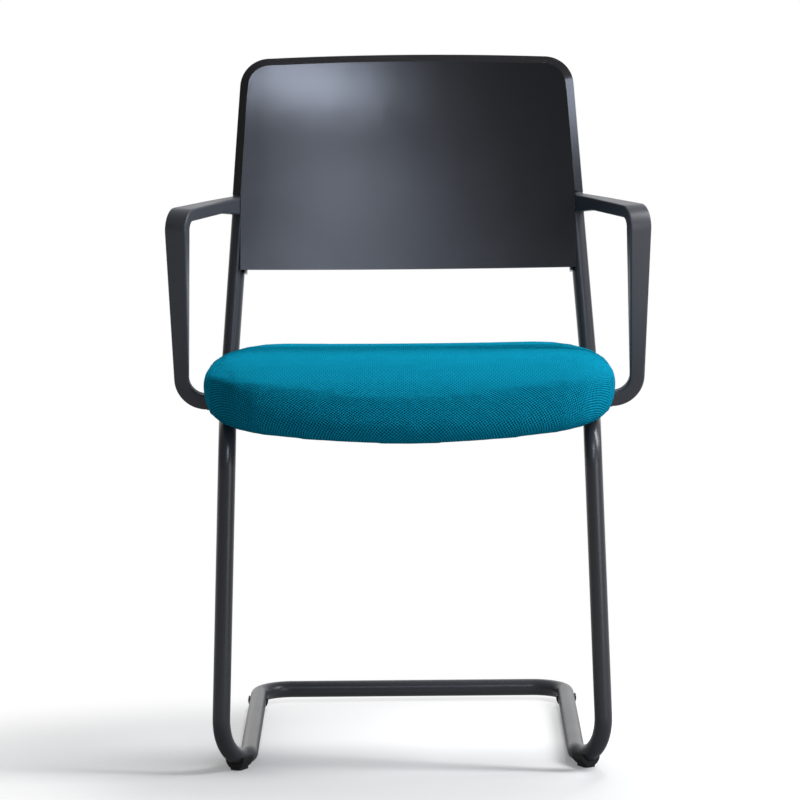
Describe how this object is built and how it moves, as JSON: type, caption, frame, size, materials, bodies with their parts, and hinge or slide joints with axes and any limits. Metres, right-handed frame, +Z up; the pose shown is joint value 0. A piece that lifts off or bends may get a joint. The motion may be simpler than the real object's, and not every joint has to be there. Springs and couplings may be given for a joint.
{
  "type": "cantilever conference chair",
  "caption": "Cantilever chair on a bent tube frame, with a padded fabric seat, a hollow moulded back with a raised rim and a loop arm on each side.",
  "frame": {"origin": "on the floor, in the middle of the chair's outline from side to side and from front to back", "axes": "+Z up, the sitter faces -Y, +X to the sitter's left"},
  "size_m": [0.6186, 0.5466, 0.8692],
  "materials": {
    "frame_coat": "anthracite powder coat, satin",
    "bare_steel": "zinc plated",
    "glide_plastic": "black moulded plastic",
    "pan_plastic": "black moulded plastic",
    "plywood": "raw beech plywood",
    "foam": "open cell foam",
    "seat_fabric": "teal spacer net with a fine diagonal cell",
    "dark_screws": "black zinc",
    "back_plastic": "anthracite moulded plastic, satin",
    "arm_plastic": "anthracite moulded plastic, satin",
    "brass_inserts": "turned"
  },
  "bodies": {
    "root": {"left_frame_tube": "frame_coat", "right_frame_tube": "frame_coat", "crossbar_sleeve": "bare_steel", "front_left_glide": "glide_plastic", "front_right_glide": "glide_plastic", "rear_left_glide": "glide_plastic", "rear_right_glide": "glide_plastic", "front_seat_strap": "frame_coat", "rear_seat_strap": "frame_coat", "seat_pan": "pan_plastic", "seat_board": "plywood", "seat_foam": "foam", "seat_cover": "seat_fabric", "seat_tee_nuts": "bare_steel", "seat_screws": "dark_screws", "pan_screws": "dark_screws", "backrest_shell": "back_plastic", "backrest_screws": "dark_screws", "left_arm": "arm_plastic", "right_arm": "arm_plastic", "arm_inserts": "brass_inserts", "arm_screws": "dark_screws"}
  },
  "joints": []
}
